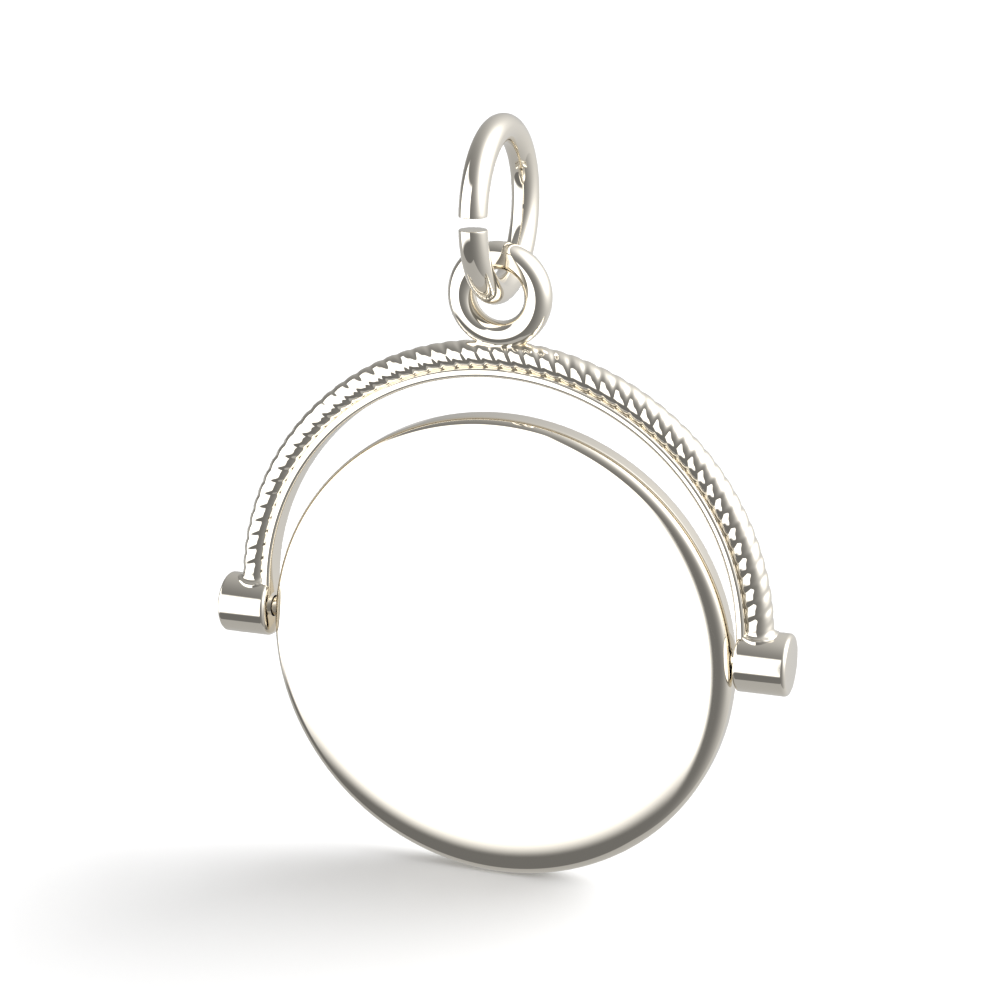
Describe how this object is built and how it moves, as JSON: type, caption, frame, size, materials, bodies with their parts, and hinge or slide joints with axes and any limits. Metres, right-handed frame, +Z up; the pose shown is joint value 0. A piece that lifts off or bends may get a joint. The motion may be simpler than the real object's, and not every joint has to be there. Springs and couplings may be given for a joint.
{
  "type": "spinner charm",
  "caption": "Spinner charm: a plain round disc turns on two posts between the barrels of a rope-patterned bow, which hangs on an open jump ring.",
  "frame": {"origin": "top of the jump ring's hole, the point on which the charm hangs", "axes": "+Z up, X from barrel to barrel along the disc's pivots, -Y the side that faces the viewer"},
  "size_m": [0.0218, 0.0066, 0.0283],
  "materials": {
    "polished_silver": "mirror-polished sterling silver"
  },
  "bodies": {
    "ring": {"jump_ring": "polished_silver"},
    "pendant": {"bow_frame": "polished_silver"},
    "spinner": {"disc": "polished_silver"}
  },
  "joints": [
    {"name": "pendant_swing", "type": "hinge", "parent": "ring", "child": "pendant", "pos_m": [0, 0, -0.00514], "axis": [0, 1, 0], "range_deg": [-60, 60]},
    {"name": "disc_spin", "type": "hinge", "parent": "pendant", "child": "spinner", "pos_m": [0, 0, -0.0179], "axis": [1, 0, 0], "continuous": true}
  ]
}
